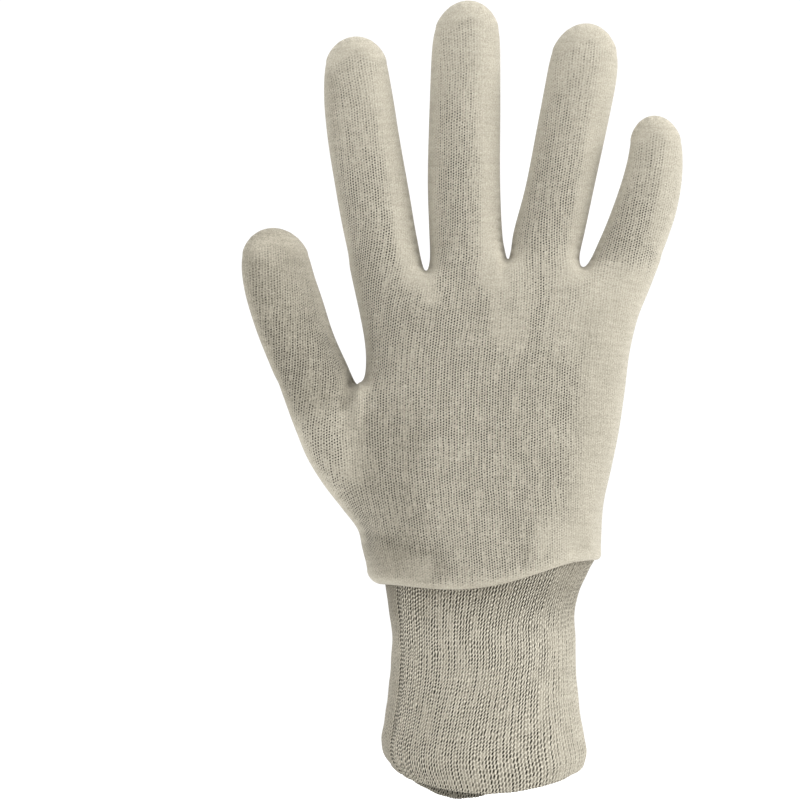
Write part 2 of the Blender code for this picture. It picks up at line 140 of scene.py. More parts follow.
# Relief of the cuff: its ribs and how they sway, and in front a ladder with a flatter strip beside it
RIB_DEPTH = 0.32
RIB_RISE = 0.08
ODD_RIB = 0.6
CUFF_SWAY = 0.14
CUFF_SWAY_FROM = 0.7
CUFF_SWAY_REACH = 0.6
CUFF_RIPPLE = 0.22
CUFF_RIPPLE_LENGTH = 9.0
CUFF_RIPPLE_SEED = 31
LADDER_SIDE = -0.885
LADDER_WIDTH = 0.5
LADDER_DEPTH = 0.35
STRIP_WIDTH = 5.0
STRIP_EDGE = 1.3
STRIP_BEHIND = 0.5
STRIP_FLAT = 0.8
STRIP_CLOSED = 0.75
# Painted shade on the flatter strip beside the ladder
STRIP_PAINTED_SHADE = 0.25
INSIDE_OPEN = 0.35

# How a seam draws the jersey in, and how the cloth fills a fork
BAND_STEP = 0.25
PUCKER_DEPTH = 0.25
PUCKER_PITCH = 3.4
PUCKER_REACH = 2.0
PUCKER_EDGE = 0.5
PUCKER_DRIFT = 1.5
PUCKER_DRIFT_LENGTH = 9.0
HEM_CALM = 3.0
HEM_CALM_START = 0.25
FORK_FILL = 2.2
FORK_FILL_REACH = 6.0
FORK_FILL_EDGE = 1.3

# How open the jersey is beside its seams, at the ends of its digits, along its hem and at its forks
SEAM_BAND = 1.8
SEAM_BAND_FADE = 2.5
TIP_BAND = 5.5
TIP_BAND_FADE = 2.0
DIGIT_CLOSED = 0.65
DIGIT_CLOSED_FROM = 0.25
DIGIT_CLOSED_REACH = 0.625
HEM_OPEN = 0.7
HEM_OPEN_REACH = 2.5
ROLL_OPEN = 0.6
ROLL_OPEN_STEP = 0.2
FORK_CLOSED = 2.0
FORK_CLOSED_FADE = 4.0

# How far leans, smooth strips and the painted shading lines reach past their places
LEAN_REACH = 30.0
SMOOTH_EDGE = 1.5
PAINTED_SHADING_EDGE = 1.6

# Camera and set
PHOTO_WIDTH = 256.0
PHOTO_MIDDLE = (-26.9, 127.4)
CAMERA_AWAY = 4000.0
CAMERA_RISE = math.radians(-1.0)
SENSOR = 36.0
CLIP = (0.05, 50.0)
FLOOR_GAP = 4.0
FLOOR_RADIUS = 8.0
FLOOR_SIDES = 64
FLOOR_COLOUR = (0.95, 0.95, 0.95, 1.0)
FLOOR_ROUGHNESS = 0.9
SKY_STRENGTH = 1.07

Digit = namedtuple("Digit", "lean length width puff curl sections")
Section = namedtuple("Section", "up shift wide")
Edge = namedtuple("Edge", "up out")
Fork = namedtuple("Fork", "share rise")
Ring = namedtuple("Ring", "up left right depth")
Crease = namedtuple("Crease", "x z x_end z_end width depth")
Lean = namedtuple("Lean", "place x z degrees")
Smooth = namedtuple("Smooth", "x z x_end z_end width keep")
PaintedShading = namedtuple("PaintedShading", "x z x_end z_end width change")
Ripple = namedtuple("Ripple", "height length seed fade")
Fade = namedtuple("Fade", "start reach change")
Lamp = namedtuple("Lamp", "name place target size power")

# In a section, up is a share of the digit's length, and shift and wide are shares of its width
THUMB = Digit(-14.1, 49.6, 25.0, THUMB_PUFF, 0.0, [
    Section(0.05, -0.03, 1.01),
    Section(0.12, -0.05, 1.01),
    Section(0.35, -0.11, 0.99),
    Section(0.60, -0.12, 0.975),
    Section(0.73, -0.115, 0.925),
])
INDEX = Digit(-10.0, 72.9, 23.6, FINGER_PUFF, FINGER_CURL, [
    Section(0.05, -0.02, 1.00),
    Section(0.12, -0.04, 1.00),
    Section(0.35, -0.07, 1.01),
    Section(0.60, -0.09, 0.99),
    Section(0.76, -0.08, 0.95),
    Section(0.83, -0.07, 0.90),
])
MIDDLE = Digit(0.4, 84.4, 23.4, FINGER_PUFF, FINGER_CURL, [
    Section(0.05, 0.00, 1.04),
    Section(0.12, -0.02, 1.02),
    Section(0.35, -0.05, 1.01),
    Section(0.60, -0.04, 0.99),
    Section(0.83, -0.03, 0.96),
])
RING = Digit(12.9, 77.1, 23.2, FINGER_PUFF, FINGER_CURL, [
    Section(0.05, -0.03, 0.97),
    Section(0.12, -0.03, 1.00),
    Section(0.35, 0.02, 0.97),
    Section(0.60, 0.05, 0.99),
    Section(0.80, 0.07, 1.00),
])
LITTLE = Digit(10.3, 47.5, 21.8, FINGER_PUFF, LITTLE_CURL, [
    Section(0.05, 0.04, 1.06),
    Section(0.12, 0.07, 1.03),
    Section(0.35, 0.15, 0.98),
    Section(0.60, 0.17, 0.885),
    Section(0.76, 0.145, 0.80),
])
DIGITS = [THUMB, INDEX, MIDDLE, RING, LITTLE]

# Ends of the row of forks, the three forks between them: shares of the palm's width and length
FORKS = [
    Fork(-0.500, -0.010),
    Fork(-0.253, -0.016),
    Fork(0.011, 0.022),
    Fork(0.251, -0.004),
    Fork(0.500, 0.009),
]

# Outlines of the palm, by shares of their height
THUMB_SIDE = [
    Edge(0.00, 0.00), Edge(0.11, 0.06), Edge(0.21, 0.11), Edge(0.32, 0.28),
    Edge(0.45, 0.49), Edge(0.58, 0.66), Edge(0.75, 0.81), Edge(1.00, 1.00),
]
INDEX_SIDE = [
    Edge(0.00, 0.00), Edge(0.06, 0.08), Edge(0.14, 0.11), Edge(0.40, 0.12),
    Edge(0.58, 0.09), Edge(1.00, 0.00),
]
LITTLE_SIDE = [
    Edge(0.00, 0.00), Edge(0.18, 0.06), Edge(0.28, 0.17), Edge(0.42, 0.31),
    Edge(0.56, 0.41), Edge(0.70, 0.50), Edge(0.82, 0.65), Edge(0.90, 0.81),
    Edge(1.00, 1.00),
]

# How much the palm puffs, as a share of its depth, by shares of its length
PALM_BULK = [
    Edge(0.00, 1.30), Edge(0.12, 1.25), Edge(0.30, 1.14), Edge(0.60, 1.00),
    Edge(1.00, 0.90),
]

# The cuff's half widths and half depth, as shares of its own, by shares of its height
CUFF_RINGS = [
    Ring(0.00, 0.91, 0.97, 0.95),
    Ring(0.06, 0.98, 1.00, 0.99),
    Ring(0.13, 1.00, 0.98, 1.00),
    Ring(0.25, 0.97, 0.94, 0.98),
    Ring(0.40, 0.93, 0.90, 0.95),
    Ring(0.60, 0.90, 0.89, 0.93),
    Ring(0.78, 0.91, 0.89, 0.94),
    Ring(0.88, 0.93, 0.96, 0.97),
]

# Creases and, with a depth below 0, ridges in the worn cloth of the palm and the back
PALM_CREASES = [
    Crease(-39.8, 131.5, -41.0, 120.0, 1.8, -1.2),
    Crease(-42.2, 133.0, -45.2, 125.5, 1.9, 1.3),
    Crease(6.4, 171.5, 6.0, 168.5, 1.5, 0.8),
    Crease(12.5, 80.0, 12.0, 72.0, 1.2, 0.45),
    Crease(15.2, 81.0, 14.8, 72.5, 1.6, -0.35),
    Crease(29.5, 78.5, 29.0, 74.5, 1.0, 0.6),
    Crease(33.4, 89.0, 33.0, 78.5, 2.2, -0.6),
]
BACK_CREASES = [
    Crease(-40.0, 130.0, -36.0, 118.0, 1.8, -0.7),
    Crease(5.0, 82.0, 5.5, 71.5, 1.5, 0.4),
    Crease(-18.0, 82.0, -17.5, 71.0, 1.7, 0.35),
]

# How many degrees the wales lean to the right of upright, judged
LEANS = [
    Lean("index tip", -36, 235, -10),
    Lean("index", -40, 205, -4),
    Lean("index foot", -31, 166, 15),
    Lean("middle", -9, 212, 2),
    Lean("middle foot", -6, 165, 4),
    Lean("ring", 30, 222, 6),
    Lean("ring foot", 17, 170, -5),
    Lean("little", 52, 190, 8),
    Lean("little foot", 38, 158, 12),
    Lean("palm", -12, 122, 0),
    Lean("heel, left", -29, 93, -8),
    Lean("heel, middle", 8, 95, -1),
    Lean("heel, right", 40, 110, 3),
    Lean("thumb", -67, 165, 5),
    Lean("thumb foot", -53, 128, 10),
    Lean("thumb ball", -42, 109, 0),
]

# Strips where the knit is closed and smooth, each along a line; keep is the share of openness that is left.
# Along the right sides of the digits, the palm and the hem this is painted light, the washed-out look of the
# sides that face the key light
SMOOTH_AND_LIT_STRIPS = [
    Smooth(-22, 168, -31, 228, 5.0, 0.10),
    Smooth(3, 166, 2, 246, 4.6, 0.05),
    Smooth(-16, 172, -16, 240, 1.6, 0.5),
    Smooth(29, 168, 40, 234, 3.8, 0.15),
    Smooth(55, 178, 61, 208, 3.0, 0.35),
    Smooth(8, 168, 8, 150, 6.5, 0.40),
    Smooth(-20, 168, -17, 160, 3.0, 0.25),
    Smooth(29, 168, 27, 150, 8.0, 0.50),
    Smooth(45, 160, 37, 80, 12.0, 0.15),
    Smooth(22, 83, 34, 80, 7.0, 0.40),
    Smooth(-42, 134, -41, 104, 4.0, 0.45),
    Smooth(-33, 76, -20, 73, 4.5, 0.35),
]

# Painted shade where the cloth is drawn darker, along lines, and a painted highlight where the change is
# above 0, as the light falls: darker on the thumb, both sides and middle of the palm, the hem's left end,
# the index's left edge and the crease by the thumb's fork, lighter at the thumb's tip
PAINTED_SHADING_LINES = [
    PaintedShading(-70, 178, -57, 136, 13.0, -0.55),
    PaintedShading(-31, 116, -32, 84, 10.5, -0.36),
    PaintedShading(-74, 175, -60, 177, 3.0, 0.15),
    PaintedShading(38, 150, 32, 88, 8.0, -0.15),
    PaintedShading(-42, 133, -45, 126, 1.6, -0.25),
    PaintedShading(-34, 78, -18, 74, 6.0, -0.35),
    PaintedShading(-50, 185, -52, 228, 4.5, -0.35),
    PaintedShading(-5, 140, 0, 90, 22.0, -0.08),
]

# Unevenness of the worn jersey, which fades out towards the seams, and how waves make up a ripple
RIPPLE_WAVES = 9
RIPPLE_SPREAD = (0.7, 1.5)
RIPPLES = [
    Ripple(0.35, 22.0, 11, 6.0),
    Ripple(0.12, 7.0, 21, 3.0),
]

# Where the cuff's knit is closed or open: past a distance to the right or past a height. Painted shade on
# the cuff: past a height, under the overhanging hem, and past a distance to the left, away from the key
# light
CLOSED_RIGHT = Fade(14.0, 14.0, -0.75)
OPEN_HIGH = Fade(50.0, 14.0, 0.25)
PAINTED_SHADE_UNDER_HEM = Fade(50.0, 18.0, -0.45)
PAINTED_SHADE_LEFT = Fade(8.0, 16.0, -0.12)

# Lamps, with places and sizes in metres and power in watts
SET_MIDDLE = (-0.01, 0.0, 0.13)
LAMPS = [
    Lamp("key", (1.9, -0.45, 1.35), SET_MIDDLE, 0.9, 39.0),
    Lamp("top", (0.2, 0.3, 1.8), SET_MIDDLE, 0.8, 15.0),
    Lamp("front", (-0.3, -2.2, 0.02), (0.0, 0.0, 0.0), 0.3, 9.0),
    Lamp("left", (-1.8, -0.2, 0.7), SET_MIDDLE, 0.9, 5.0),
]


# Curves

def through(xs, ys, x):
    """Values at x of a smooth curve through the points, held level past its ends."""
    xs = np.asarray(xs, float)
    ys = np.asarray(ys, float)
    slopes = np.gradient(ys, xs)
    x = np.clip(x, xs[0], xs[-1])
    i = np.clip(np.searchsorted(xs, x, side="right") - 1, 0, len(xs) - 2)
    step = xs[i + 1] - xs[i]
    t = (x - xs[i]) / step
    start = ys[i] * (1 + 2 * t) + slopes[i] * step * t
    end = ys[i + 1] * (3 - 2 * t) - slopes[i + 1] * step * (1 - t)
    return start * (1 - t) ** 2 + end * t ** 2


def read_table(table, column, up, crotch=False):
    """A column of a table at height shares. Out of a crotch an edge leaves sideways, so that it is round."""
    ups = np.array([row.up for row in table])
    values = np.array([getattr(row, column) for row in table])
    if crotch:
        return through(np.sqrt(ups), values, np.sqrt(np.maximum(up, 0.0)))
    return through(ups, values, up)


def between(start, end, share):
    return start + (end - start) * share


def ease(t):
    """From 0 to 1, level at both ends."""
    t = np.clip(t, 0.0, 1.0)
    return t * t * (3 - 2 * t)


def faded(fade, values):
    """A fade's change, which grows from its start over its reach."""
    return fade.change * ease((values - fade.start) / fade.reach)


def ripple(points, wavelength, seed):
    """Smooth noise, mostly from -1 to 1 and the same each time, from waves that cross in all directions."""
    source = np.random.default_rng(seed)
    total = np.zeros(len(points))
    for _ in range(RIPPLE_WAVES):
        direction = source.normal(size=points.shape[1])
        direction /= np.linalg.norm(direction)
        pace = 2 * math.pi / (wavelength * source.uniform(*RIPPLE_SPREAD))
        total += np.cos(points @ direction * pace + source.uniform(0, 2 * math.pi))
    return total / math.sqrt(RIPPLE_WAVES / 2) / 2


# Outlines of the panels and the cuff

FORK_LEVELS = [CUFF_LENGTH + PALM_LENGTH * (1 + fork.rise) for fork in FORKS]
FINGER_LEVEL = CUFF_LENGTH + PALM_LENGTH
THUMB_FORK_LEVEL = CUFF_LENGTH + THUMB_FORK_HEIGHT
HAND_COLUMNS = COLUMNS * len(DIGITS)


def hem_height(side):
    """The hem's lower edge, from side -1 at the thumb to side 1."""
    away = (side - HEM_SAG_MIDDLE) / HEM_SAG_REACH
    sag = HEM_SAG * np.maximum(1 - away * away, 0.0) ** HEM_SAG_FADE
    return CUFF_LENGTH + HEM_TILT / 2 * side - sag


def hem_top(side):
    """Where the hem starts to roll in."""
    side = np.asarray(side, float)
    return hem_height(side) + HEM_ROLL + THUMB_ROLL * np.maximum(-side, 0.0) ** THUMB_ROLL_FADE


def mouth_height(side, facing):
    """The cuff's lower rim: facing is -1 in front and 1 behind, where it hangs lower."""
    bow = MOUTH_BOW * (1 - np.maximum(1 - side * side, 0.0) ** MOUTH_FULLNESS)
    away = np.abs(side - BACK_DROP_SIDE) / BACK_DROP_REACH
    drop = np.where(facing > 0, BACK_DROP * ease(1 - away), 0.0)
    return MOUTH_LIFT + bow - drop


def fork_side(number):
    return PALM_CENTRE + PALM_WIDTH * FORKS[number].share


THUMB_FORK_SIDE = fork_side(0) + THUMB_FORK_INSET
THUMB_FOOT_SIDE = THUMB_FORK_SIDE - THUMB_FOOT_WIDTH


def left_edge(z):
    """The palm's outline below the thumb, and above its fork the outer edge of the index."""
    bottom = hem_top(-1)
    out = read_table(THUMB_SIDE, "out", (z - bottom) / (THUMB_FORK_LEVEL - bottom))
    low = between(-HEM_WIDTH / 2, THUMB_FOOT_SIDE, out)
    up = (z - THUMB_FORK_LEVEL) / (FORK_LEVELS[0] - THUMB_FORK_LEVEL)
    high = between(THUMB_FORK_SIDE, fork_side(0), up)
    high = high + INDEX.width * read_table(INDEX_SIDE, "out", up, crotch=True)
    return np.where(z <= THUMB_FORK_LEVEL + SLACK, low, high)


def right_edge(z):
    """The palm's outline on the little finger's side."""
    bottom = hem_top(1)
    out = read_table(LITTLE_SIDE, "out", (z - bottom) / (FORK_LEVELS[-1] - bottom))
    return between(HEM_WIDTH / 2, fork_side(-1), out)


def spread(t, left, right):
    """Share across a digit, drawn closer to those of its edges that are seams."""
    near_left = 1 - np.cos(t * math.pi / 2)
    near_right = np.sin(t * math.pi / 2)
    both = (1 - np.cos(t * math.pi)) / 2
    plain = t * (1 - left) * (1 - right)
    return plain + near_left * left * (1 - right) + near_right * right * (1 - left) + both * left * right


def fork_place(column):
    """Which finger a column of the palm is under, and its share of the way across the finger's foot."""
    digit = np.clip(column // COLUMNS - 1, 0, len(FORKS) - 2)
    return digit, (column - COLUMNS * (digit + 1)) / COLUMNS


def fork_share(column, left, split):
    """Share of the way from the index's outer edge to the little finger's, for columns of the palm."""
    digit, t = fork_place(column)
    across = spread(t, np.where(digit == 0, left, split), np.where(digit == len(FORKS) - 2, 1.0, split))
    shares = np.array([fork.share for fork in FORKS]) - FORKS[0].share
    return between(shares[digit], shares[digit + 1], across)


def fork_height(column):
    digit, t = fork_place(column)
    levels = np.array(FORK_LEVELS)
    return between(levels[digit], levels[digit + 1], t)


def thumb_bend(x, z):
    """How far the thumb's side is turned towards the palm, from a line up to the thumb's fork."""
    foot_x = -HEM_WIDTH / 2
    foot_z = hem_top(-1)
    run_x = THUMB_FORK_SIDE - foot_x
    run_z = THUMB_FORK_LEVEL - foot_z
    away = (run_x * (z - foot_z) - run_z * (x - foot_x)) / math.hypot(run_x, run_z)
    away = np.maximum(away, 0.0)
    return -math.tan(THUMB_TURN) * away * away / (away + THUMB_EASE)


def palm_puff(z):
    return PALM_DEPTH * read_table(PALM_BULK, "out", (z - CUFF_LENGTH) / PALM_LENGTH)


# The flat net of a panel. Each grid function returns x, z, puff and bend, by row and column.

def low_grid():
    """The palm from the hem to the thumb's fork."""
    t = np.arange(LOW_ROWS + 1)[:, None] / LOW_ROWS
    column = np.arange(HAND_COLUMNS + 1)[None, :]
    hem_side = -np.cos(math.pi * column / HAND_COLUMNS)
    z = between(hem_top(hem_side), THUMB_FORK_LEVEL, t)
    left = left_edge(between(hem_top(-1), THUMB_FORK_LEVEL, t))
    right = right_edge(between(hem_top(1), THUMB_FORK_LEVEL, t))
    fork = (THUMB_FORK_SIDE - left[-1, 0]) / (right[-1, 0] - left[-1, 0])
    thumb_share = fork * spread(np.minimum(column / COLUMNS, 1.0), 1.0, FORK_SPREAD)
    hand_share = between(fork, 1, fork_share(np.maximum(column, COLUMNS), FORK_SPREAD, 0.0))
    top_share = np.where(column <= COLUMNS, thumb_share, hand_share)
    hem_share = (hem_side + 1) / 2
    x = between(left, right, between(hem_share, top_share, ease(t)))
    bend = np.where(column < COLUMNS, thumb_bend(x, z), 0.0)
    return np.stack([x, z, palm_puff(z), bend], axis=-1)


def high_grid():
    """The palm above the thumb's fork, without its lowest row."""
    t = np.arange(1, HIGH_ROWS + 1)[:, None] / HIGH_ROWS
    column = np.arange(COLUMNS, HAND_COLUMNS + 1)[None, :]
    z = between(THUMB_FORK_LEVEL, fork_height(column), t)
    left = left_edge(between(THUMB_FORK_LEVEL, FORK_LEVELS[0], t))
    right = right_edge(between(THUMB_FORK_LEVEL, FORK_LEVELS[-1], t))
    open_up = between(FORK_SPREAD, 1, ease(2 * t))
    x = between(left, right, fork_share(column, open_up, FORK_SPREAD * ease(2 * t - 1)))
    return np.stack([x, z, palm_puff(z), 0 * x], axis=-1)


def digit_foot(number):
    if DIGITS[number] is THUMB:
        return THUMB_FOOT_SIDE, THUMB_FORK_SIDE
    return fork_side(number - 1), fork_side(number)


def digit_edge(digit, foot_left, foot_right, side, up):
    """One edge of a digit: side is -1 for the left one and 1 for the right one."""
    outer = (digit in (THUMB, INDEX) and side < 0) or (digit is LITTLE and side > 0)
    sections = [Section(0.0, 0.0, (foot_right - foot_left) / digit.width)] + digit.sections
    middle = (foot_left + foot_right) / 2 + digit.lean * up
    shift = read_table(sections, "shift", up, crotch=not outer)
    half = read_table(sections, "wide", up, crotch=not outer) / 2
    return middle + (shift + side * half) * digit.width


def digit_grid(number, foot):
    """A digit above its fork, without its lowest row, which is at the heights foot, with its round end."""
    digit = DIGITS[number]
    base = THUMB_FORK_LEVEL if digit is THUMB else FINGER_LEVEL
    foot_left, foot_right = digit_foot(number)
    cap_up = digit.sections[-1].up
    t = np.arange(COLUMNS + 1)[None, :] / COLUMNS

    row = np.arange(1, DIGIT_ROWS + 1)[:, None] / DIGIT_ROWS
    up = cap_up * row ** FORK_CROWDING
    free = between(FORK_SPREAD, 1, ease(up / FORK_SHARE))
    left = digit_edge(digit, foot_left, foot_right, -1, up)
    right = digit_edge(digit, foot_left, foot_right, 1, up)
    across = spread(t, 1.0 if digit in (THUMB, INDEX) else free, 1.0 if digit is LITTLE else free)
    low = np.stack([between(left, right, across), up + 0 * t], axis=-1)

    turn = np.sin(np.arange(1, CAP_ROWS + 1)[:, None] / CAP_ROWS * math.pi / 2)
    corner = CAP_CORNER * turn
    crowded = 2 * spread(t, 1.0, 1.0) - 1
    across = between(crowded, 2 * t - 1, turn ** 2)
    angle = math.pi / 2 - across * (math.pi / 2 - corner)
    weight = turn ** CAP_ROUNDING
    side = between(across * np.cos(corner), np.cos(angle), weight)
    rise = between(np.sin(corner), np.sin(angle), weight)
    start = digit.sections[-1]
    up = between(cap_up, 1, rise)
    x = (foot_left + foot_right) / 2 + digit.lean * up
    x = x + (start.shift * (1 - rise) + side * start.wide / 2) * digit.width
    high = np.stack([x, up], axis=-1)

    place = rounded(np.concatenate([low, high]))
    x, up = place[..., 0], place[..., 1]
    z = base + digit.length * up
    z = z + (foot - base) * (1 - ease((z - base) / FORK_FADE))
    puff = between(palm_puff(base), digit.puff, ease(up / PUFF_BLEND))
    bend = thumb_bend(x, z) if digit is THUMB else -digit.curl * up * up
    return np.stack([x, z, puff, bend], axis=-1)


def rounded(place):
    """Smooth a digit's columns where its sides run into its round end."""
    rows = np.arange(len(place))[1:-1, None, None]
    share = ease(1 - np.abs(rows - DIGIT_ROWS + CAP_SMOOTH_LOW) / CAP_SMOOTH_ROWS) / 2
    for _ in range(CAP_SMOOTH_ROUNDS):
        middle = (place[:-2] + place[2:]) / 2
        place[1:-1] += (middle - place[1:-1]) * share
    return place


def grid_quads(ids):
    """Faces of a grid of point numbers, by row upwards and column to the right."""
    return np.stack([ids[:-1, :-1], ids[:-1, 1:], ids[1:, 1:], ids[1:, :-1]], axis=-1).reshape(-1, 4)


class Net:
    """A panel's flat net: spots (x, z, puff, bend), quads, the hem's spots, the outline's in order."""

    def __init__(self):
        parts = []
        count = 0

        def add(grid):
            nonlocal count
            ids = count + np.arange(grid[..., 0].size).reshape(grid.shape[:2])
            parts.append(grid.reshape(-1, 4))
            count += ids.size
            return ids

        low = add(low_grid())
        high = np.vstack([low[-1, COLUMNS:], add(high_grid())])
        feet = [low[-1, :COLUMNS + 1]]
        feet += [high[-1, COLUMNS * k:COLUMNS * (k + 1) + 1] for k in range(len(DIGITS) - 1)]
        heights = np.concatenate(parts)[:, 1]
        digits = [np.vstack([foot, add(digit_grid(k, heights[foot]))]) for k, foot in enumerate(feet)]
        self.spots = np.concatenate(parts)
        self.quads = np.concatenate([grid_quads(ids) for ids in [low, high] + digits])
        self.hem = low[0]
        self.forks = [low[-1, COLUMNS]] + [high[-1, COLUMNS * k] for k in range(1, len(DIGITS) - 1)]
        self.digits = digits
        loops = [np.concatenate([ids[:, 0], ids[-1, 1:-1], ids[::-1, -1]]) for ids in digits]
        outline = [low[:-1, 0], loops[0], high[1:-1, 0], loops[1]]
        outline += [loop[1:] for loop in loops[2:]]
        outline += [high[-2::-1, -1], low[-2::-1, -1]]
        self.outline = np.concatenate(outline)


# Solving for smooth fields over a net

def triangles_of(quads):
    return np.concatenate([quads[:, [0, 1, 2]], quads[:, [0, 2, 3]]])


def unit(vectors):
    return vectors / np.maximum(np.linalg.norm(vectors, axis=1), TINY)[:, None]


def stiffness(points, triangles):
    """Cotangent weights of a net's edges, as (starts, ends, weights), and the area at each point."""
    starts, ends, weights = [], [], []
    area = np.zeros(len(points))
    for turn in range(3):
        a, b, c = (triangles[:, (turn + k) % 3] for k in range(3))
        u = points[a] - points[c]
        v = points[b] - points[c]
        cross = np.linalg.norm(np.cross(u, v), axis=1)
        starts.append(a)
        ends.append(b)
        weights.append((u * v).sum(1) / np.maximum(cross, TINY) / 2)
        area += np.bincount(c, cross / 6, len(points))
    return (np.concatenate(starts), np.concatenate(ends), np.concatenate(weights)), area


def solve(edges, extra, pull, known=None, rounds=1500, close=1e-7):
    """Solve (stiffness + extra) x = pull by conjugate gradients, with some values of x known."""
    starts, ends, weights = edges
    count = len(pull)
    diagonal = np.bincount(starts, weights, count) + np.bincount(ends, weights, count) + extra

    def times(x):
        y = diagonal * x
        y -= np.bincount(starts, weights * x[ends], count)
        y -= np.bincount(ends, weights * x[starts], count)
        return y

    free = np.ones(count, bool)
    x = np.zeros(count)
    if known is not None:
        x[known[0]] = known[1]
        free[known[0]] = False
    rest = np.where(free, pull - times(x), 0.0)
    scale = np.where(free, 1 / np.maximum(diagonal, TINY), 0.0)
    step = scale * rest
    size = first = rest @ step
    for _ in range(rounds):
        if size <= close ** 2 * first:
            break
        moved = np.where(free, times(step), 0.0)
        length = size / (step @ moved)
        x += length * step
        rest -= length * moved
        better = scale * rest
        size, before = rest @ better, size
        step = better + size / before * step
    return x


def puffed(net):
    """Half depths of the net: its squared height follows the screened Poisson equation."""
    flat = np.stack([net.spots[:, 0], net.spots[:, 1], 0 * net.spots[:, 0]], axis=1)
    edges, area = stiffness(flat, triangles_of(net.quads))
    hem_heights = (HEM_DEPTH / 2 - STAND_OFF) * np.sin(math.pi * np.arange(HAND_COLUMNS + 1) / HAND_COLUMNS)
    hem_squares = (2 * hem_heights / net.spots[net.hem, 2]) ** 2
    numbers = np.concatenate([net.outline, net.hem])
    values = np.concatenate([0.0 * net.outline, hem_squares])
    squared = solve(edges, area / SEAM_REACH ** 2, area / SEAM_REACH ** 2, (numbers, values))
    return net.spots[:, 2] / 2 * np.sqrt(np.maximum(squared, 0.0))


def stitch_map(points, quads, along, wale, course):
    """Place each point in the knit: its wale across and its course up, where along is the wales' way."""
    triangles = triangles_of(quads)
    edges, _ = stiffness(points, triangles)
    a, b, c = (points[triangles[:, k]] for k in range(3))
    normal = unit(np.cross(b - a, c - a))
    way = along[triangles].mean(1)
    way = unit(way - (way * normal).sum(1)[:, None] * normal)
    found = []
    for field in (np.cross(way, normal), way):
        pull = np.zeros(len(points))
        for turn in range(3):
            i, j, k = (triangles[:, (turn + s) % 3] for s in range(3))
            slope = np.cross(normal, points[k] - points[j])
            pull += np.bincount(i, (slope * field).sum(1) / 2, len(points))
        found.append(solve(edges, 0.0, pull, close=1e-5))
    return np.stack([found[0] / wale, found[1] / course], axis=1)


def smooth_normals(points, quads):
    face = np.cross(points[quads[:, 2]] - points[quads[:, 0]], points[quads[:, 3]] - points[quads[:, 1]])
    normals = np.stack([
        sum(np.bincount(quads[:, k], face[:, axis], len(points)) for k in range(4)) for axis in range(3)
    ], axis=1)
    return unit(normals)


# Jersey panels

def cuff_oval(up, outset):
    """The cuff's outer oval at height shares: its middle, half width and half depth."""
    wide = CUFF_WIDTH / 2
    deep = CUFF_DEPTH / 2
    hem_wide = HEM_WIDTH / 2 - HEM_OVERHANG
    hem_deep = HEM_DEPTH / 2 - HEM_OVERHANG
    rings = CUFF_RINGS + [Ring(1.0, (hem_wide - THUMB_OVERHANG) / wide, hem_wide / wide, hem_deep / deep)]
    left = wide * read_table(rings, "left", up)
    right = wide * read_table(rings, "right", up)
    deep = deep * read_table(rings, "depth", up)
    return (right - left) / 2, (right + left) / 2 + outset, deep + outset


def rolled(start, facing, turn, gap):
    """The hem's points, rolled in by up to a quarter turn until they are a gap away from the cuff."""
    angle = math.pi * np.arange(HAND_COLUMNS + 1) / HAND_COLUMNS
    side = -np.cos(angle)
    middle, half, deep = cuff_oval(1.0, gap)
    inward = 1 - math.cos(turn)
    x = between(start[:, 0], middle + half * side, inward)
    y = between(start[:, 1], facing * between(STAND_OFF, deep, np.sin(angle)), inward)
    return np.stack([x, y, start[:, 2] - (hem_top(side) - hem_height(side)) * math.sin(turn)], axis=1)


def nearest_seam(flat, outline):
    """Distance of each flat spot from the seam, and how far along the seam its nearest point lies."""
    line = flat[outline]
    along = np.concatenate([[0.0], np.cumsum(np.linalg.norm(np.diff(line, axis=0), axis=1))])
    tree = kdtree.KDTree(len(line))
    for number, (x, z) in enumerate(line):
        tree.insert((x, 0.0, z), number)
    tree.balance()
    found = [tree.find((x, 0.0, z)) for x, z in flat]
    return np.array([hit[2] for hit in found]), along[[hit[1] for hit in found]]


def crease_lift(flat, creases):
    """How far ridges stand out of the cloth, less how deep creases lie in it."""
    lift = np.zeros(len(flat))
    for crease in creases:
        lift -= crease.depth * np.exp(-near_line(flat, crease) ** 2)
    return lift


def wale_ways(flat):
    """Which way the wales run, from the leans at the places nearby."""
    total = np.zeros(len(flat))
    weights = np.zeros(len(flat))
    for lean in LEANS:
        away = (flat[:, 0] - lean.x) ** 2 + (flat[:, 1] - lean.z) ** 2
        weight = 1 / (away + LEAN_REACH) ** 2
        total += weight * lean.degrees
        weights += weight
    angle = np.radians(total / weights)
    return np.stack([np.sin(angle), 0 * angle, np.cos(angle)], axis=1)


def near_line(flat, row):
    """Distances from a table row's line, in widths of the row."""
    start = np.array([row.x, row.z])
    run = np.array([row.x_end, row.z_end]) - start
    t = np.clip((flat - start) @ run / (run @ run), 0.0, 1.0)
    return np.linalg.norm(flat - start - t[:, None] * run, axis=1) / row.width


def smooth_and_lit_share(flat):
    """Share of openness that the smooth strips leave, which on the lit right sides is painted light."""
    share = np.ones(len(flat))
    for strip in SMOOTH_AND_LIT_STRIPS:
        share *= 1 - (1 - strip.keep) * ease(SMOOTH_EDGE - near_line(flat, strip))
    return share


def tip_share(net):
    """0 in the doubled cloth at the end of each digit, 1 elsewhere."""
    share = np.ones(len(net.spots))
    for ids in net.digits:
        digit_tip = net.spots[ids[-1], :2]
        low = net.spots[:, 1] > digit_tip[:, 1].min() - 2 * TIP_BAND
        near = np.flatnonzero(low)
        gap = np.linalg.norm(net.spots[near, None, :2] - digit_tip[None, ::2], axis=2).min(1)
        share[near] *= ease((gap - TIP_BAND) / TIP_BAND_FADE + 0.5)
    return share


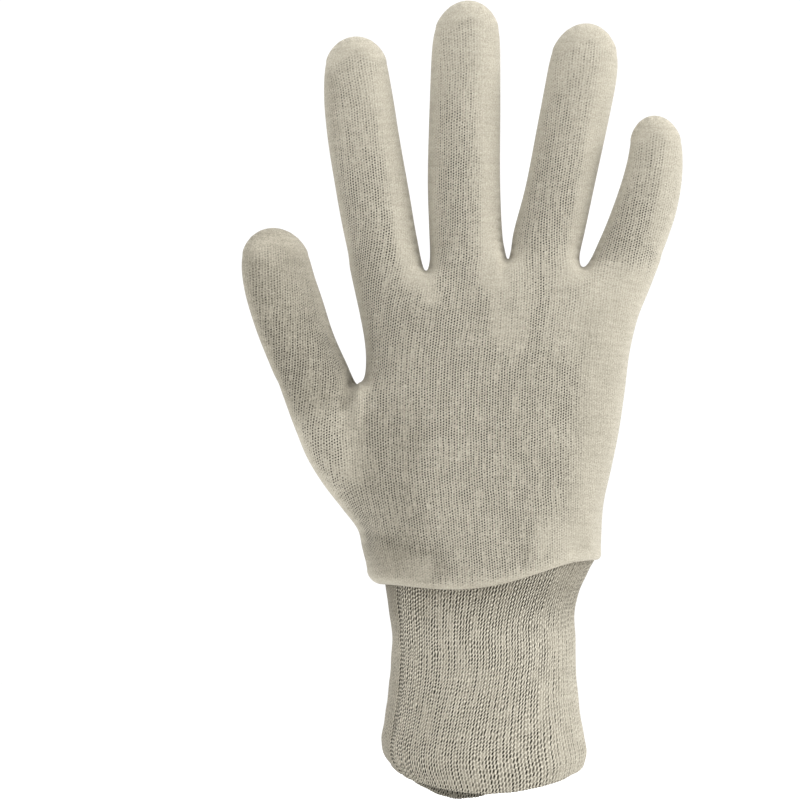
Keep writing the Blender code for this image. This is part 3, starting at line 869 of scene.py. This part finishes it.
def digit_share(net):
    """Less open knit towards the end of each digit."""
    share = np.ones(len(net.spots))
    for ids in net.digits:
        up = np.arange(1, len(ids)) / len(ids)
        closing = ease((up - DIGIT_CLOSED_FROM) / DIGIT_CLOSED_REACH)
        share[ids[1:]] = 1 - DIGIT_CLOSED * closing[:, None]
    return share


def jersey_lift(net, facing, points, away, along, tips, creases):
    """How far the worn cloth stands out of its smooth form at each spot, without the calm beside its hem."""
    pucker = np.exp(-away / PUCKER_REACH) * ease(away / PUCKER_EDGE)
    drift = PUCKER_DRIFT * np.sin(along / PUCKER_DRIFT_LENGTH)
    lift = PUCKER_DEPTH * pucker * np.sin(2 * math.pi * along / PUCKER_PITCH + drift)
    lift -= BAND_STEP * tips
    for wave in RIPPLES:
        lift += wave.height * ripple(points, wave.length, wave.seed + facing) * ease(away / wave.fade)
    return lift + crease_lift(net.spots[:, :2], creases)


def jersey_openness(net, away, above_hem, near_fork, tips):
    """How open the knit is at each spot, from 0 for closed to 1."""
    share = ease((away - SEAM_BAND) / SEAM_BAND_FADE + 0.5)
    share *= between(HEM_OPEN, 1, ease(above_hem / HEM_OPEN_REACH))
    share *= tips * smooth_and_lit_share(net.spots[:, :2]) * digit_share(net)
    return share * ease((near_fork - FORK_CLOSED) / FORK_CLOSED_FADE)


def hem_roll(hem_points, facing):
    """Rows of the rolled hem: a quarter turn inwards, then a lip that reaches closer to the cuff."""
    rows = []
    for step in range(1, ROLL_STEPS + 2):
        turn = math.pi / 2 * min(step / ROLL_STEPS, 1.0)
        gap = CLEARANCE + HEM_LIP if step <= ROLL_STEPS else CLEARANCE
        rows.append(rolled(hem_points, facing, turn, gap))
    return np.array(rows)


def jersey_panel(name, facing, net, heights, creases, material):
    """One panel of the body: facing is -1 for the palm and 1 for the back."""
    flat = net.spots[:, :2]
    x, z, _, bend = net.spots.T
    spots = len(flat)
    away, along = nearest_seam(flat, net.outline)
    above_hem = z - hem_top(np.clip(x / (HEM_WIDTH / 2), -1.0, 1.0))
    near_fork = np.min([np.linalg.norm(flat - flat[fork], axis=1) for fork in net.forks], axis=0)
    fill = FORK_FILL * np.exp(-(near_fork / FORK_FILL_REACH) ** 2)
    heights = heights + fill * (1 - np.exp(-(away / FORK_FILL_EDGE) ** 2))
    points = np.stack([x, bend + facing * (STAND_OFF + heights), z], axis=1)

    roll = hem_roll(points[net.hem], facing)
    roll_ids = spots + np.arange(roll[..., 0].size).reshape(roll.shape[:2])
    rows = np.vstack([roll_ids[::-1], net.hem])
    points = np.vstack([points, roll.reshape(-1, 3)])
    quads = np.vstack([net.quads, grid_quads(rows)])
    ways = np.vstack([wale_ways(flat), np.tile([0.0, 0.0, 1.0], (roll_ids.size, 1))])
    outline = np.concatenate([rows[:-1, 0], net.outline, rows[-2::-1, -1]])
    if facing > 0:
        quads = quads[:, ::-1]

    normals = smooth_normals(points, quads)
    pattern = stitch_map(points, quads, ways, JERSEY_WALE, JERSEY_COURSE)
    tips = tip_share(net)
    lift = jersey_lift(net, facing, points[:spots], away, along, tips, creases)
    lift *= ease(above_hem / HEM_CALM + HEM_CALM_START)
    points[:spots] += normals[:spots] * lift[:, None]
    open_knit = jersey_openness(net, away, above_hem, near_fork, tips)
    roll_open = np.maximum(ROLL_OPEN - ROLL_OPEN_STEP * np.arange(len(roll)), 0.0)

    lips = len(points) + np.arange(len(outline))
    points = np.vstack([points, points[outline] - np.array([0.0, facing * SEAM_LIP, 0.0])])
    pattern = np.vstack([pattern, pattern[outline]])
    open_knit = np.concatenate([open_knit, np.outer(roll_open, open_knit[net.hem]).ravel(), 0.0 * lips])
    fold = np.stack([outline[:-1], outline[1:], lips[1:], lips[:-1]], axis=1)
    quads = np.vstack([quads, fold[:, ::-1] if facing > 0 else fold])
    # Painted shade and highlight from the table's lines, the same on both panels
    painted_shading = sum(row.change * ease(PAINTED_SHADING_EDGE - near_line(points[:, [0, 2]], row)) for row in PAINTED_SHADING_LINES)
    panel = cloth_object(name, points, quads, pattern, {"open_knit": open_knit, "painted_shading": painted_shading}, material)
    wall = panel.modifiers.new("jersey", "SOLIDIFY")
    wall.thickness = JERSEY_WALL * MM
    wall.offset = -1.0
    return panel


def placed(name, data):
    """A new object of the scene, which shows the data."""
    thing = bpy.data.objects.new(name, data)
    bpy.context.scene.collection.objects.link(thing)
    return thing


def cloth_object(name, points, quads, pattern, fields, material, lap=0):
    """A mesh with its stitch map and fields, one value at each point. A map that closes is a lap wide."""
    mesh = bpy.data.meshes.new(name)
    mesh.from_pydata((points * MM).tolist(), [], quads.tolist())
    corners = np.empty(len(mesh.loops), int)
    mesh.loops.foreach_get("vertex_index", corners)
    stitches = pattern[corners].reshape(-1, 4, 2)
    if lap:
        across = stitches[..., 0]
        closing = np.ptp(across, axis=1) > lap / 2
        across += np.where(closing[:, None] & (across < lap / 2), lap, 0.0)
    layer = mesh.uv_layers.new(name="stitches")
    layer.uv.foreach_set("vector", stitches.astype(np.float32).ravel())
    for field, values in fields.items():
        mesh.attributes.new(field, "FLOAT", "POINT").data.foreach_set("value", values.astype(np.float32))
    mesh.materials.append(material)
    mesh.shade_smooth()
    return placed(name, mesh)


# Ribbed cuff

def even_angles(count):
    """Angles round the cuff that are equally far apart along its oval."""
    fine = np.linspace(0.0, 2 * math.pi, OVAL_STEPS + 1)
    _, half, deep = cuff_oval(0.5, 0.0)
    pace = np.hypot(half * np.sin(fine), deep * np.cos(fine))
    length = np.concatenate([[0.0], np.cumsum((pace[1:] + pace[:-1]) / 2)])
    return np.interp(np.arange(count) / count * length[-1], length, fine)


def cuff_points(angle, up, inset, lift):
    """A ring of the cuff. Its wales sway to the left towards the mouth, in front and behind."""
    sway = CUFF_SWAY * ease((CUFF_SWAY_FROM - up) / CUFF_SWAY_REACH)
    swayed = angle - sway * np.sin(angle) * np.abs(np.sin(angle))
    middle, half, deep = cuff_oval(up, -inset)
    side = -np.cos(swayed)
    low = mouth_height(side, np.where(np.sin(swayed) >= 0, -1, 1))
    z = between(low, hem_height(side), up) + lift
    return np.stack([middle + half * side, -deep * np.sin(swayed), z + 0 * swayed], axis=-1)


def cuff_rings(angle):
    """Rings of points with their courses: down the outside from the tucked end, then up the inside."""
    outer = CUFF_COURSES * PER_COURSE
    fold = CUFF_WALL / 2
    rings = [cuff_points(angle, 1.0, 0.0, CUFF_TUCK)]
    courses = [CUFF_COURSES + TUCK_COURSES]
    for step in range(outer + 1):
        up = 1 - step / outer
        rings.append(cuff_points(angle, up, 0.0, 0.0))
        courses.append(CUFF_COURSES * up)
    for step in range(1, FOLD_STEPS + 1):
        turn = math.pi * step / FOLD_STEPS
        rings.append(cuff_points(angle, 0.0, fold * (1 - math.cos(turn)), -fold * math.sin(turn)))
        courses.append(-step / PER_COURSE)
    for step in range(1, INSIDE_STEPS + 1):
        up = step / INSIDE_STEPS
        rings.append(cuff_points(angle, up, CUFF_WALL, 0.0))
        courses.append(-FOLD_STEPS / PER_COURSE - CUFF_COURSES * up)
    rings.append(cuff_points(angle, 1.0, CUFF_WALL, CUFF_TUCK))
    courses.append(courses[-1] - TUCK_COURSES)
    return np.array(rings), np.array(courses)


def ladder_and_strip(angle):
    """How far each angle is in the ladder of the side seam, and in the flatter strip to the left of it."""
    _, half, _ = cuff_oval(0.5, 0.0)
    past_ladder = (-np.cos(angle) - LADDER_SIDE) * half
    past_ladder = np.where(np.sin(angle) > 0, past_ladder, -STRIP_WIDTH - past_ladder * STRIP_BEHIND)
    strip = ease(STRIP_EDGE - np.abs(past_ladder + STRIP_WIDTH / 2) / (STRIP_WIDTH / 2))
    return np.exp(-(past_ladder / LADDER_WIDTH) ** 2), strip


def ribbed_cuff(name, material):
    """The ribbed tube: stitches in relief outside and over the fold, a plain layer inside."""
    around = CUFF_WALES * PER_WALE
    angle = even_angles(around)
    rings, courses = cuff_rings(angle)
    count = len(rings)
    ids = np.arange(count * around).reshape(count, around)
    closed = np.concatenate([ids, ids[:, :1]], axis=1)
    quads = grid_quads(np.concatenate([closed, closed[:1]]))[:, ::-1]
    points = rings.reshape(-1, 3)
    normals = smooth_normals(points, quads)

    wale = np.arange(around) / PER_WALE
    ladder, strip = (np.tile(share, count) for share in ladder_and_strip(angle))
    groove = np.cos(math.pi * (wale - np.round(wale))) ** 2 * np.where(np.round(wale) % 2 == 0, 1.0, ODD_RIB)
    groove = np.tile(groove, count) * (1 - STRIP_FLAT * strip)
    row = np.repeat(np.arange(count), around)
    outside = (row > 0) & (row <= CUFF_COURSES * PER_COURSE + 1 + FOLD_STEPS)
    lift = RIB_RISE - RIB_DEPTH * groove - LADDER_DEPTH * ladder
    lift += CUFF_RIPPLE * ripple(points, CUFF_RIPPLE_LENGTH, CUFF_RIPPLE_SEED)
    points = points + normals * (outside * lift)[:, None]

    x, y, z = points.T
    opened = np.where(outside, 1.0, INSIDE_OPEN) * (1 - STRIP_CLOSED * strip)
    opened *= 1 + faded(CLOSED_RIGHT, x) * (y < 0)
    opened *= 1 + faded(OPEN_HIGH, z)
    # Painted shade: darker under the hem, towards the left away from the key light, and on the flatter strip
    painted_shading = faded(PAINTED_SHADE_UNDER_HEM, z) + faded(PAINTED_SHADE_LEFT, -x) - STRIP_PAINTED_SHADE * strip
    pattern = np.stack([np.tile(wale, count), np.repeat(courses, around)], axis=1)
    fields = {"open_knit": opened, "ladder": ladder * outside, "painted_shading": painted_shading}
    return cloth_object(name, points, quads, pattern, fields, material, lap=CUFF_WALES)


# Materials

class Nodes:
    """Short names for building a material's nodes."""

    def __init__(self, name):
        self.material = bpy.data.materials.new(name)
        self.material.use_nodes = True
        self.tree = self.material.node_tree
        self.shader = self.tree.nodes["Principled BSDF"]

    def add(self, kind, inputs, **settings):
        """A new node, with values or other nodes' sockets put to its inputs, which are given by name."""
        node = self.tree.nodes.new(kind)
        for key, value in settings.items():
            setattr(node, key, value)
        self.fill(node, inputs)
        return node

    def fill(self, node, inputs):
        for key, value in inputs.items():
            if isinstance(value, bpy.types.NodeSocket):
                self.tree.links.new(value, node.inputs[key])
            else:
                node.inputs[key].default_value = value

    def math(self, operation, *values):
        return self.add("ShaderNodeMath", dict(enumerate(values)), operation=operation).outputs[0]

    def smooth(self, value, low, high, start=0.0, end=1.0):
        """From start to end as the value goes from low to high, level at both ends."""
        inputs = dict(enumerate((value, low, high, start, end)))
        return self.add("ShaderNodeMapRange", inputs, interpolation_type="SMOOTHSTEP").outputs[0]

    def mix(self, factor, a, b):
        inputs = {"Factor": factor, 6: a, 7: b}
        return self.add("ShaderNodeMix", inputs, data_type="RGBA", clamp_factor=False).outputs[2]

    def wobble(self, vector, kind):
        """Noise that is centred on 0."""
        return self.math("SUBTRACT", self.noise(vector, kind), 0.5)

    def noise(self, vector, kind):
        inputs = {"Vector": vector, "Scale": kind.scale, "Detail": kind.detail, "Roughness": kind.roughness}
        return self.add("ShaderNodeTexNoise", inputs).outputs[0]

    def luck(self, dimensions, inputs):
        """A number from 0 to 1 that is drawn anew for each value of the inputs."""
        return self.add("ShaderNodeTexWhiteNoise", inputs, noise_dimensions=dimensions).outputs[0]

    def plus(self, total, value, share):
        return self.math("MULTIPLY_ADD", value, share, total)

    def limit(self, value, low, high):
        return self.math("MINIMUM", self.math("MAXIMUM", value, low), high)

    def field(self, name):
        return self.add("ShaderNodeAttribute", {}, attribute_name=name).outputs["Fac"]

    def vector(self, x, y):
        return self.add("ShaderNodeCombineXYZ", {"X": x, "Y": y}).outputs[0]


# A knit's colours, the last the near black of painted shade in its gaps, then how its gaps lie and how large
# and how even they are, then how its yarn looks
Knit = namedtuple("Knit", "light dark gap sway drift stagger loose slant gap_wide gap_tall "
                          "full weaker uneven clouds base streak line thread grain bump")
JERSEY = Knit(
    light=(0.445, 0.413, 0.338, 1.0), dark=(0.245, 0.225, 0.178, 1.0), gap=(0.010, 0.008, 0.005, 1.0),
    sway=0.9, drift=1.4, stagger=0.5, loose=0.12, slant=0.1, gap_wide=0.38, gap_tall=0.37,
    full=0.86, weaker=0.9, uneven=0.85, clouds=0.25,
    base=0.59, streak=0.6, line=0.25, thread=0.1, grain=1.2, bump=0.0002,
)
RIB = Knit(
    light=(0.50, 0.466, 0.383, 1.0), dark=(0.225, 0.206, 0.163, 1.0), gap=(0.008, 0.007, 0.004, 1.0),
    sway=0.45, drift=2.4, stagger=0.0, loose=0.45, slant=0.5, gap_wide=0.32, gap_tall=0.50,
    full=0.95, weaker=0.55, uneven=1.2, clouds=0.5,
    base=0.38, streak=0.4, line=0.5, thread=0.65, grain=0.9, bump=0.00016,
)

# Noises: bumps to a metre, but to a stretched stitch for the runs of gaps along a wale and the yarn's slubs
Noise = namedtuple("Noise", "scale detail roughness")
SWAY = Noise(170.0, 2.0, 0.5)
DRIFT = Noise(180.0, 2.0, 0.5)
CLOUDS = Noise(75.0, 2.0, 0.5)
MOTTLE = Noise(160.0, 3.0, 0.6)
FUZZ = Noise(2600.0, 2.0, 0.7)
GRAIN = Noise(2100.0, 1.0, 0.5)
RUNS = Noise(1.0, 1.0, 0.5)
SLUBS = Noise(1.0, 2.0, 0.6)
RUN_STRETCH = (3.7, 0.09)
SLUB_STRETCH = (0.07, 0.75, 1.0)
RUN_RANGE = (0.32, 0.68)
CLOUD_RANGE = (0.3, 0.7)
WALE_LUCK = 0.3

# Edges of a gap, a strand and its thread's painted highlight, as shares of a stitch or a gap, and of the
# ladder's dark rungs, which are painted shade
GAP_EDGE = (1.0, 0.45)
STRAND_EDGE = (0.12, 0.5, -0.5, 0.5)
THREAD_HIGHLIGHT_EDGE = (0.34, 0.48)
RUNG_EDGE = (-0.5, 0.8, 0.05, 0.75)

# How much the yarn's shade and its height follow what lies in it
MOTTLE_SHADE = 0.25
FUZZ_SHADE = 1.2
STRENGTH_START = 0.15
SHADE_RANGE = (-0.3, 1.6)
STRAND_HEIGHT = 0.7
STRAND_HEIGHT_START = 0.15
GAP_HEIGHT = 0.6
FUZZ_HEIGHT = 0.7

YARN = {
    "Roughness": 0.95,
    "Specular IOR Level": 0.2,
    "Sheen Weight": 0.2,
    "Sheen Roughness": 0.45,
    "Sheen Tint": (0.95, 0.92, 0.84, 1.0),
}

Spot = namedtuple("Spot", "height wale course run odd luck off up")


def stitch_spot(n, stitches, place, knit):
    """Where a point lies in the knit: its wale and course, and how far it is from the stitch's middle."""
    across, height, _ = n.add("ShaderNodeSeparateXYZ", {0: stitches}).outputs
    across = n.plus(across, n.wobble(place, SWAY), knit.sway)
    run = n.plus(height, n.wobble(place, DRIFT), knit.drift)
    wale = n.math("FLOOR", n.math("ADD", across, 0.5))
    odd = n.math("ABSOLUTE", n.math("MODULO", wale, 2.0))
    luck = n.luck("1D", {"W": wale})
    run = n.math("ADD", run, n.math("MULTIPLY_ADD", luck, knit.loose, n.math("MULTIPLY", odd, knit.stagger)))
    course = n.math("FLOOR", run)
    up = n.math("SUBTRACT", n.math("SUBTRACT", run, course), 0.5)
    off = n.math("SUBTRACT", n.math("SUBTRACT", across, wale), n.math("MULTIPLY", up, knit.slant))
    return Spot(height, wale, course, run, odd, luck, n.math("ABSOLUTE", off), up)


def gap_strength(n, spot, opened, place, knit):
    """How dark the painted shade in the gap of each stitch is, from 0 to 1. It differs by stitch, along a
    wale and by wale.
    """
    each = n.luck("2D", {"Vector": n.vector(spot.wale, spot.course)})
    stretched = (n.math("MULTIPLY", part, share) for part, share in zip((spot.wale, spot.run), RUN_STRETCH))
    runs = n.smooth(n.noise(n.vector(*stretched), RUNS), *RUN_RANGE)
    clouds = n.smooth(n.noise(place, CLOUDS), *CLOUD_RANGE)
    strength = knit.full
    shares = ((each, knit.uneven), (runs, knit.uneven), (clouds, knit.clouds), (spot.luck, WALE_LUCK))
    for value, share in shares:
        strength = n.plus(strength, n.math("SUBTRACT", value, 0.5), share)
    by_wale = n.math("SUBTRACT", 1.0, n.math("MULTIPLY", spot.odd, 1 - knit.weaker))
    return n.limit(n.math("MULTIPLY", n.math("MULTIPLY", strength, by_wale), opened), 0.0, 1.0)


def gap_share(n, spot, strength, knit):
    """How far a point is in a gap of painted shade: the one in the middle of its stitch, or one between two
    rungs.
    """
    gap_x = n.math("DIVIDE", spot.off, knit.gap_wide)
    gap_y = n.math("DIVIDE", spot.up, knit.gap_tall)
    square = n.math("ADD", n.math("MULTIPLY", gap_x, gap_x), n.math("MULTIPLY", gap_y, gap_y))
    gap = n.math("MULTIPLY", n.smooth(n.math("SQRT", square), *GAP_EDGE), strength)
    rung = n.math("SINE", n.math("MULTIPLY", spot.height, 2 * math.pi))
    return n.math("MAXIMUM", gap, n.math("MULTIPLY", n.field("ladder"), n.smooth(rung, *RUNG_EDGE)))


def yarn_shade(n, spot, stitches, place, opened, strength, fuzz, strand, knit):
    """How light the yarn is, as a share of the way from the knit's dark colour to its light one."""
    stretched = n.add("ShaderNodeMapping", {"Vector": stitches, "Scale": SLUB_STRETCH}).outputs[0]
    # Painted highlight: a bright line at the edge of each column, where the yarn's relief would catch the
    # light
    thread = n.math("MULTIPLY", n.smooth(spot.off, *THREAD_HIGHLIGHT_EDGE), opened)
    # The painted shading field makes the yarn darker or lighter where the light falls less or more
    shade = n.math("ADD", n.field("painted_shading"), knit.base)
    for value, share in (
        (n.wobble(stretched, SLUBS), knit.streak),
        (n.wobble(place, MOTTLE), MOTTLE_SHADE),
        (fuzz, FUZZ_SHADE),
        (n.wobble(place, GRAIN), knit.grain),
        (thread, knit.thread),
        (n.math("MULTIPLY", strand, knit.line), n.math("ADD", strength, STRENGTH_START)),
    ):
        shade = n.plus(shade, value, share)
    return n.limit(shade, *SHADE_RANGE)


def knit_material(name, knit):
    """Undyed cotton yarn, knitted: columns of gaps in painted shade, staggered between light strands with a
    painted highlight at their edges, with a nap.
    """
    n = Nodes(name)
    stitches = n.add("ShaderNodeUVMap", {}, uv_map="stitches").outputs[0]
    place = n.add("ShaderNodeTexCoord", {}).outputs["Object"]
    opened = n.field("open_knit")
    spot = stitch_spot(n, stitches, place, knit)
    strength = gap_strength(n, spot, opened, place, knit)
    gap = gap_share(n, spot, strength, knit)
    fuzz = n.wobble(place, FUZZ)
    strand = n.smooth(spot.off, *STRAND_EDGE)
    shade = yarn_shade(n, spot, stitches, place, opened, strength, fuzz, strand, knit)
    # The gaps' near black is painted shade, the dark that lies in them
    colour = n.mix(gap, n.mix(shade, knit.dark, knit.light), knit.gap)

    stands_out = n.math("MULTIPLY_ADD", opened, STRAND_HEIGHT, STRAND_HEIGHT_START)
    height = n.math("SUBTRACT", n.math("MULTIPLY", strand, stands_out), n.math("MULTIPLY", gap, GAP_HEIGHT))
    height = n.plus(height, fuzz, FUZZ_HEIGHT)
    bump = n.add("ShaderNodeBump", {"Strength": 1.0, "Distance": knit.bump, "Height": height}).outputs[0]
    n.fill(n.shader, {"Base Color": colour, "Normal": bump, **YARN})
    return n.material


# Set

def floor():
    """A pale round floor that melts into the pale light all round."""
    turns = [2 * math.pi * number / FLOOR_SIDES for number in range(FLOOR_SIDES)]
    rim = [(FLOOR_RADIUS * math.cos(turn), FLOOR_RADIUS * math.sin(turn), -FLOOR_GAP * MM) for turn in turns]
    mesh = bpy.data.meshes.new("floor")
    mesh.from_pydata(rim, [], [list(range(FLOOR_SIDES))])
    pale = Nodes("pale_floor")
    pale.fill(pale.shader, {"Base Color": FLOOR_COLOUR, "Roughness": FLOOR_ROUGHNESS})
    mesh.materials.append(pale.material)
    placed("floor", mesh)


def soft_light(lamp):
    light = bpy.data.lights.new(lamp.name, "AREA")
    light.shape = "DISK"
    light.size = lamp.size
    light.energy = lamp.power
    disk = placed(lamp.name, light)
    disk.location = lamp.place
    away = np.array(lamp.place) - np.array(lamp.target)
    away = away / np.linalg.norm(away)
    disk.rotation_euler = (math.acos(away[2]), 0.0, math.atan2(away[0], -away[1]))


def camera():
    data = bpy.data.cameras.new("camera")
    data.sensor_width = SENSOR
    data.lens = SENSOR * CAMERA_AWAY / PHOTO_WIDTH
    data.clip_start, data.clip_end = CLIP
    eye = placed("camera", data)
    reach = CAMERA_AWAY * MM
    eye.location = (PHOTO_MIDDLE[0] * MM, -reach * math.cos(CAMERA_RISE),
                    PHOTO_MIDDLE[1] * MM + reach * math.sin(CAMERA_RISE))
    eye.rotation_euler = (math.pi / 2 - CAMERA_RISE, 0.0, 0.0)
    bpy.context.scene.camera = eye


def studio():
    world = bpy.data.worlds.new("studio")
    world.use_nodes = True
    sky = world.node_tree.nodes["Background"]
    sky.inputs["Color"].default_value = (1.0, 1.0, 1.0, 1.0)
    sky.inputs["Strength"].default_value = SKY_STRENGTH
    bpy.context.scene.world = world
    for lamp in LAMPS:
        soft_light(lamp)
    bpy.context.scene.view_settings.view_transform = "Standard"


def main():
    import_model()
    camera()
    studio()
    floor()
    jersey = knit_material("cotton_jersey", JERSEY)
    net = Net()
    heights = puffed(net)
    pieces = [
        (jersey_panel("jersey_palm", -1, net, heights, PALM_CREASES, jersey), "palm_panel", "jersey"),
        (jersey_panel("jersey_back", 1, net, heights, BACK_CREASES, jersey), "back_panel", "jersey"),
        (ribbed_cuff("ribbed_wrist", knit_material("cotton_rib", RIB)), "knit_cuff", "ribbed_cuff"),
    ]
    for piece, node, slot in pieces:
        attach(piece, "root")
        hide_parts(node)


main()
